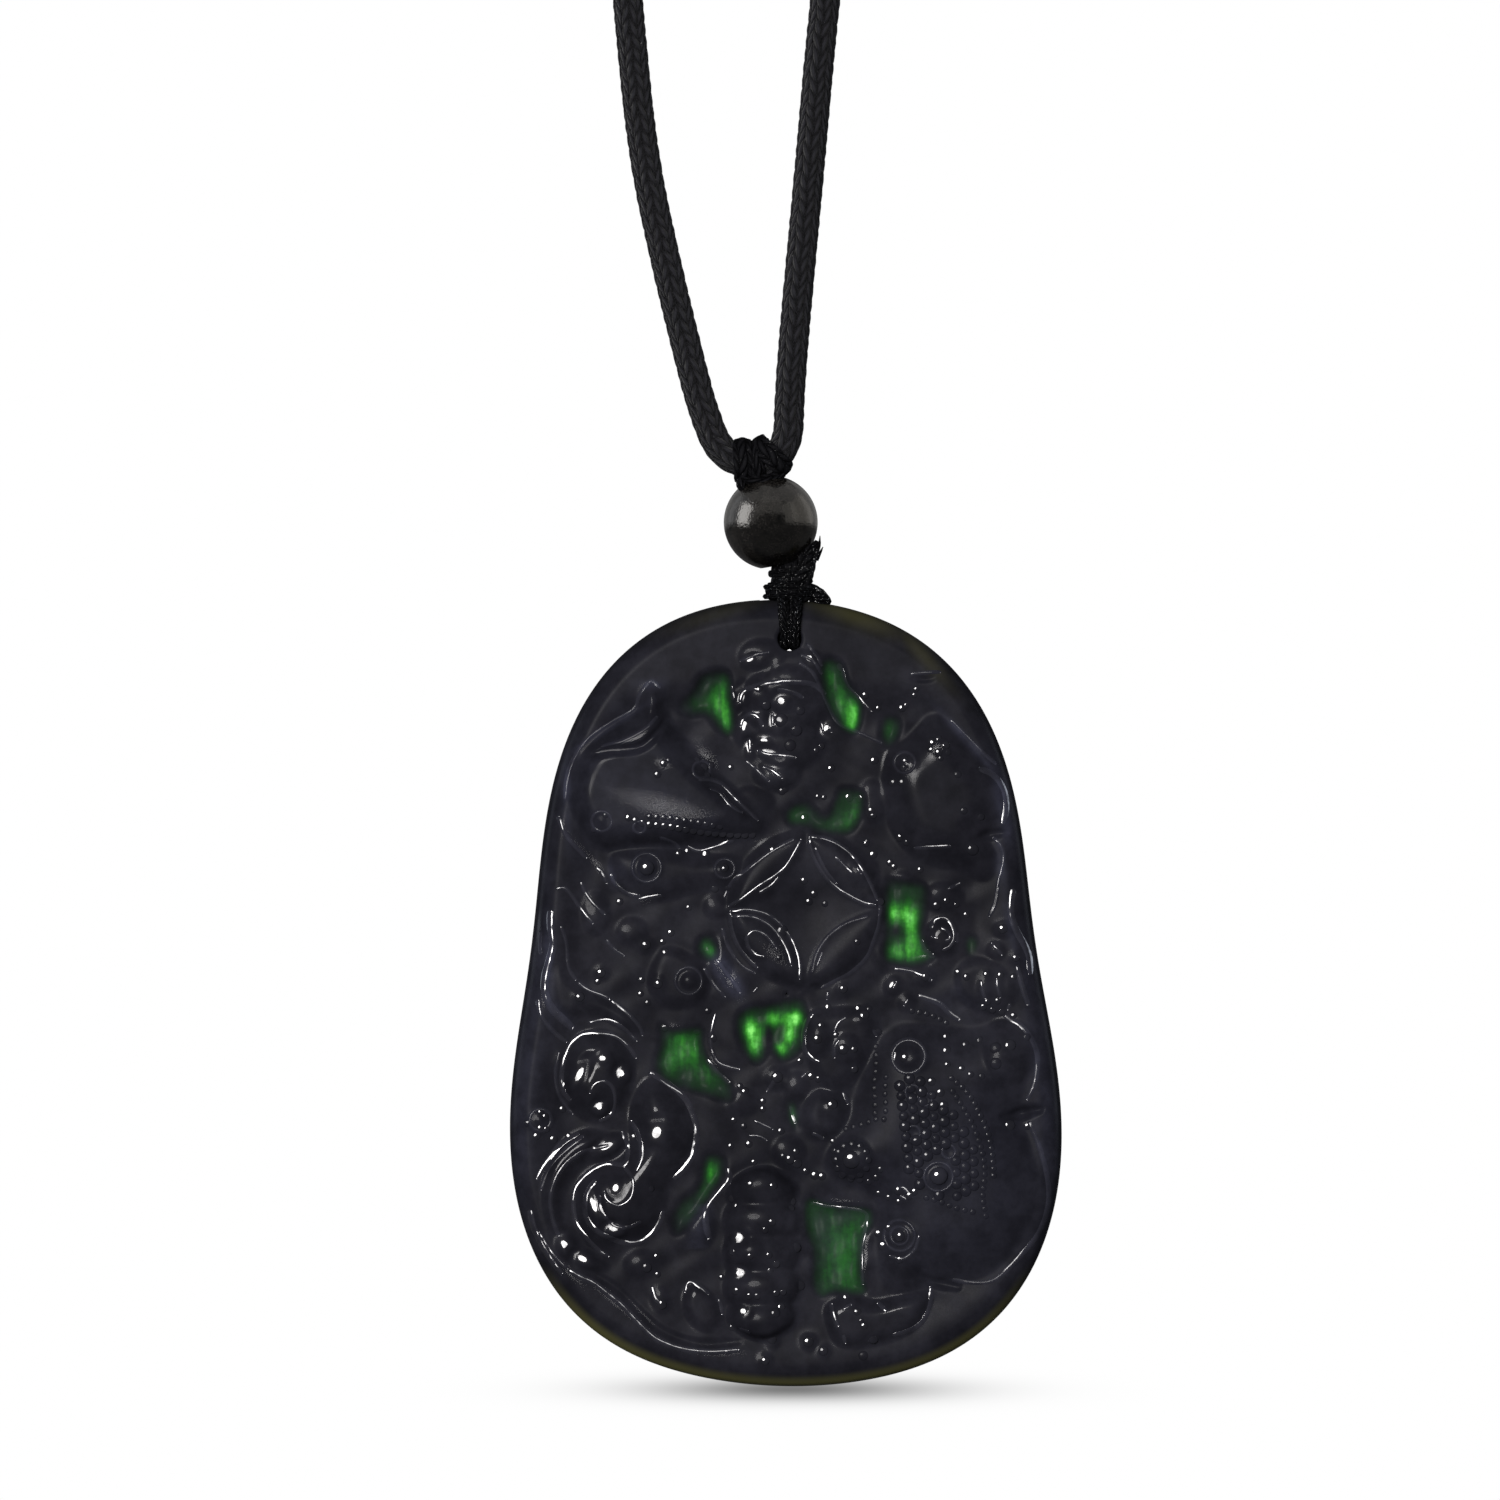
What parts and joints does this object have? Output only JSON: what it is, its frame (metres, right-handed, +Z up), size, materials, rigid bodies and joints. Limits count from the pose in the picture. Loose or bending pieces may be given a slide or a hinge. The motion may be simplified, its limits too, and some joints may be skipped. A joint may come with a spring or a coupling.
{
  "type": "carved stone pendant necklace",
  "caption": "Carved dark green-black stone plaque with toads, coin and cloud scrolls, hung under a round bead on a braided cord loop.",
  "frame": {"origin": "middle of the neck cord at the top of its loop, where the necklace hangs", "axes": "+Z up from the plaque to the hanging point, +X to the right and -Y towards the viewer of the carved front"},
  "size_m": [0.0564, 0.0083, 0.3554],
  "materials": {
    "braid": "tight round nylon braid, slight sheen",
    "bead_stone": "polished black",
    "carved_stone": "polished near-black jade, green where thin"
  },
  "bodies": {
    "root": {"neck_cord": "braid", "top_knot": "braid", "spacer_bead": "bead_stone", "bead_thread": "braid", "lower_knot": "braid", "loop_strand_left": "braid", "loop_strand_right": "braid", "carved_plaque": "carved_stone"}
  },
  "joints": []
}
